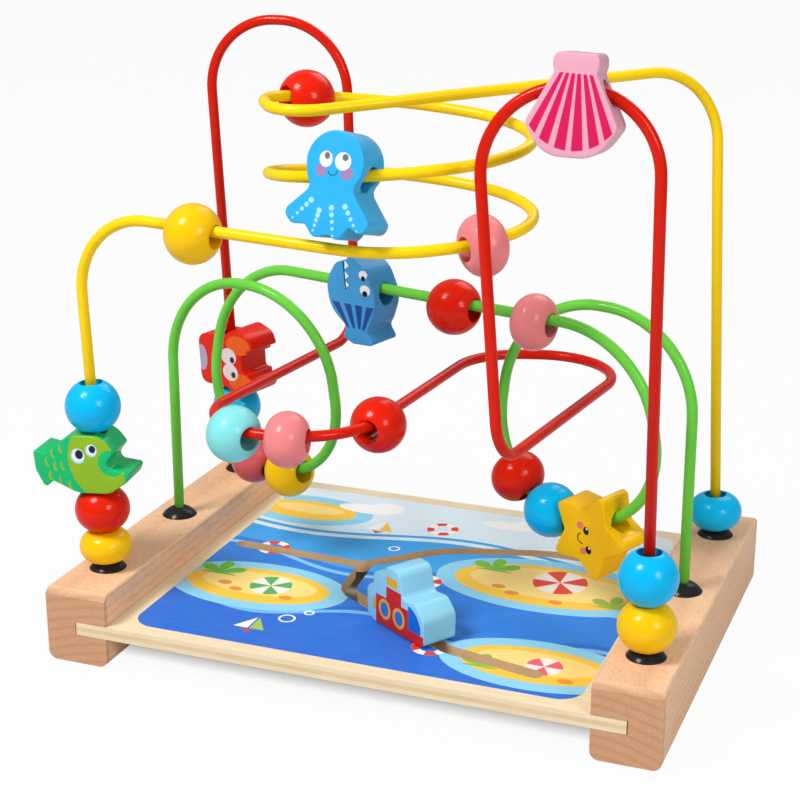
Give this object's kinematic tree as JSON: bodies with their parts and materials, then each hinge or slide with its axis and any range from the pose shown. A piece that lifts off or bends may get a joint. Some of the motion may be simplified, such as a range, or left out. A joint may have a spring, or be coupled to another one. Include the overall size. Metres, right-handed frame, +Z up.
{
  "type": "bead maze",
  "caption": "Wooden tabletop bead maze: rails and plywood panel carry three bent coated wires on which turned beads and flat sea figures slide, with a boat running in the panel's slot.",
  "frame": {"origin": "on the table, under the middle of the object's outline seen from above", "axes": "+X to the right of the side that faces the player, +Y to the back, +Z up"},
  "size_m": [0.2986, 0.2, 0.2801],
  "materials": {
    "beech": "clear lacquer",
    "plywood": "printed face, bare edges",
    "collar_black": "gloss",
    "wire_yellow": "smooth coating",
    "wire_red": "smooth coating",
    "wire_green": "smooth coating",
    "paint_yellow": "gloss paint",
    "paint_red": "gloss paint",
    "paint_blue": "gloss paint",
    "paint_pink": "gloss paint",
    "paint_rose": "gloss paint",
    "paint_aqua": "gloss paint",
    "fish_green": "gloss paint, printed",
    "octopus_blue": "gloss paint, printed",
    "whale_blue": "gloss paint, printed",
    "shell_pink": "gloss paint, printed",
    "crab_red": "gloss paint, printed",
    "star_yellow": "gloss paint, printed",
    "boat_blue": "gloss paint, printed",
    "peg_wood": "bare",
    "steel": "plain"
  },
  "bodies": {
    "frame": {"left_rail": "beech", "right_rail": "beech", "maze_panel": "plywood", "collar_left_front": "collar_black", "collar_left_middle": "collar_black", "collar_left_back": "collar_black", "collar_right_front": "collar_black", "collar_right_middle": "collar_black", "collar_right_back": "collar_black", "yellow_wire": "wire_yellow", "red_wire": "wire_red", "green_wire": "wire_green"},
    "stack_yellow_bead": {"stack_yellow_bead": "paint_yellow"},
    "stack_red_bead": {"stack_red_bead": "paint_red"},
    "fish_bead": {"fish_bead": "fish_green"},
    "stack_blue_bead": {"stack_blue_bead": "paint_blue"},
    "run_yellow_bead": {"run_yellow_bead": "paint_yellow"},
    "coil_pink_bead": {"coil_pink_bead": "paint_pink"},
    "octopus_bead": {"octopus_bead": "octopus_blue"},
    "coil_red_bead": {"coil_red_bead": "paint_red"},
    "back_post_blue_bead": {"back_post_blue_bead": "paint_blue"},
    "front_post_yellow_bead": {"front_post_yellow_bead": "paint_yellow"},
    "front_post_blue_bead": {"front_post_blue_bead": "paint_blue"},
    "shell_bead": {"shell_bead": "shell_pink"},
    "zigzag_red_bead": {"zigzag_red_bead": "paint_red"},
    "zigzag_pink_bead": {"zigzag_pink_bead": "paint_pink"},
    "zigzag_aqua_bead": {"zigzag_aqua_bead": "paint_aqua"},
    "crab_post_yellow_bead": {"crab_post_yellow_bead": "paint_yellow"},
    "crab_post_blue_bead": {"crab_post_blue_bead": "paint_blue"},
    "crab_bead": {"crab_bead": "crab_red"},
    "loop_yellow_bead": {"loop_yellow_bead": "paint_yellow"},
    "loop_rose_bead": {"loop_rose_bead": "paint_rose"},
    "whale_bead": {"whale_bead": "whale_blue"},
    "crossing_red_bead": {"crossing_red_bead": "paint_red"},
    "crossing_pink_bead": {"crossing_pink_bead": "paint_pink"},
    "star_bead": {"star_bead": "star_yellow"},
    "loop_blue_bead": {"loop_blue_bead": "paint_blue"},
    "loop_red_bead": {"loop_red_bead": "paint_red"},
    "boat": {"boat": "boat_blue", "boat_peg": "peg_wood", "boat_keeper": "peg_wood", "boat_screw": "steel"}
  },
  "joints": [
    {"name": "stack_yellow_slide", "type": "slide", "parent": "frame", "child": "stack_yellow_bead", "axis": [-0.0421, 0.006, 0.9991], "range_m": [0, 0.008]},
    {"name": "stack_red_slide", "type": "slide", "parent": "stack_yellow_bead", "child": "stack_red_bead", "axis": [-0.0421, 0.006, 0.9991], "range_m": [0, 0.008]},
    {"name": "fish_slide", "type": "slide", "parent": "stack_red_bead", "child": "fish_bead", "axis": [-0.0421, 0.006, 0.9991], "range_m": [0, 0.008]},
    {"name": "stack_blue_slide", "type": "slide", "parent": "fish_bead", "child": "stack_blue_bead", "axis": [-0.0421, 0.006, 0.9991], "range_m": [0, 0.014]},
    {"name": "run_yellow_slide", "type": "slide", "parent": "frame", "child": "run_yellow_bead", "axis": [0.9963, -0.0796, -0.0318], "range_m": [-0.012, 0.008]},
    {"name": "coil_pink_travel", "type": "hinge", "parent": "frame", "child": "coil_pink_bead", "pos_m": [0.02233, -0.02825, 0.20139], "axis": [-0.0435, -0.0967, 0.9944], "range_deg": [-8, 8]},
    {"name": "octopus_travel", "type": "hinge", "parent": "frame", "child": "octopus_bead", "pos_m": [0.00209, -0.00169, 0.22713], "axis": [-0.0885, -0.0188, 0.9959], "range_deg": [-5, 5]},
    {"name": "coil_red_travel", "type": "hinge", "parent": "frame", "child": "coil_red_bead", "pos_m": [-0.00459, -0.03633, 0.24805], "axis": [0.0448, 0.0996, 0.994], "range_deg": [-8, 8]},
    {"name": "back_post_blue_slide", "type": "slide", "parent": "frame", "child": "back_post_blue_bead", "axis": [-0.0537, 0.009, 0.9985], "range_m": [0, 0.15]},
    {"name": "front_post_yellow_slide", "type": "slide", "parent": "frame", "child": "front_post_yellow_bead", "axis": [-0.0216, 0.0173, 0.9996], "range_m": [0, 0.07]},
    {"name": "front_post_blue_slide", "type": "slide", "parent": "front_post_yellow_bead", "child": "front_post_blue_bead", "axis": [-0.0216, 0.0173, 0.9996], "range_m": [0, 0.075]},
    {"name": "shell_travel", "type": "hinge", "parent": "frame", "child": "shell_bead", "pos_m": [0.09496, -0.06978, 0.232], "axis": [0.1104, -0.9939, 0], "range_deg": [-40, 40]},
    {"name": "zigzag_red_slide", "type": "slide", "parent": "frame", "child": "zigzag_red_bead", "axis": [0.0723, 0.9974, 0], "range_m": [0, 0.075]},
    {"name": "zigzag_pink_travel", "type": "hinge", "parent": "frame", "child": "zigzag_pink_bead", "pos_m": [-0.03021, -0.04305, 0.113], "axis": [0, 0, 1], "range_deg": [0, 30]},
    {"name": "zigzag_aqua_travel", "type": "hinge", "parent": "frame", "child": "zigzag_aqua_bead", "pos_m": [-0.03656, -0.04492, 0.113], "axis": [0, 0, -1], "range_deg": [-8, 45]},
    {"name": "crab_post_yellow_slide", "type": "slide", "parent": "frame", "child": "crab_post_yellow_bead", "axis": [-0.0425, -0.0128, 0.999], "range_m": [0, 0.035]},
    {"name": "crab_post_blue_slide", "type": "slide", "parent": "crab_post_yellow_bead", "child": "crab_post_blue_bead", "axis": [-0.0425, -0.0128, 0.999], "range_m": [0, 0.035]},
    {"name": "crab_slide", "type": "slide", "parent": "crab_post_blue_bead", "child": "crab_bead", "axis": [-0.0425, -0.0128, 0.999], "range_m": [0, 0.045]},
    {"name": "loop_yellow_travel", "type": "hinge", "parent": "frame", "child": "loop_yellow_bead", "pos_m": [-0.06963, -0.0001, 0.1086], "axis": [-0.3378, -0.9316, -0.1342], "range_deg": [0, 45]},
    {"name": "loop_rose_travel", "type": "hinge", "parent": "frame", "child": "loop_rose_bead", "pos_m": [-0.06837, 0.01117, 0.1087], "axis": [0.3386, 0.9337, -0.1164], "range_deg": [0, 45]},
    {"name": "whale_slide", "type": "slide", "parent": "frame", "child": "whale_bead", "axis": [0.9648, -0.2631, 0], "range_m": [-0.025, 0.01]},
    {"name": "crossing_red_slide", "type": "slide", "parent": "frame", "child": "crossing_red_bead", "axis": [0.9648, -0.2631, 0], "range_m": [-0.01, 0.01]},
    {"name": "crossing_pink_slide", "type": "slide", "parent": "frame", "child": "crossing_pink_bead", "axis": [0.9648, -0.2631, 0], "range_m": [-0.01, 0.004]},
    {"name": "star_travel", "type": "hinge", "parent": "frame", "child": "star_bead", "pos_m": [0.08237, -0.01117, 0.1087], "axis": [-0.3386, -0.9337, -0.1164], "range_deg": [0, 45]},
    {"name": "loop_blue_travel", "type": "hinge", "parent": "frame", "child": "loop_blue_bead", "pos_m": [0.08363, 0.0001, 0.1086], "axis": [0.3378, 0.9316, -0.1342], "range_deg": [0, 15]},
    {"name": "loop_red_travel", "type": "hinge", "parent": "loop_blue_bead", "child": "loop_red_bead", "pos_m": [0.08363, 0.0001, 0.1086], "axis": [0.3378, 0.9316, -0.1342], "range_deg": [0, 15]},
    {"name": "boat_slide", "type": "slide", "parent": "frame", "child": "boat", "axis": [0.842, -0.5394, 0], "range_m": [-0.038, 0.015]}
  ]
}
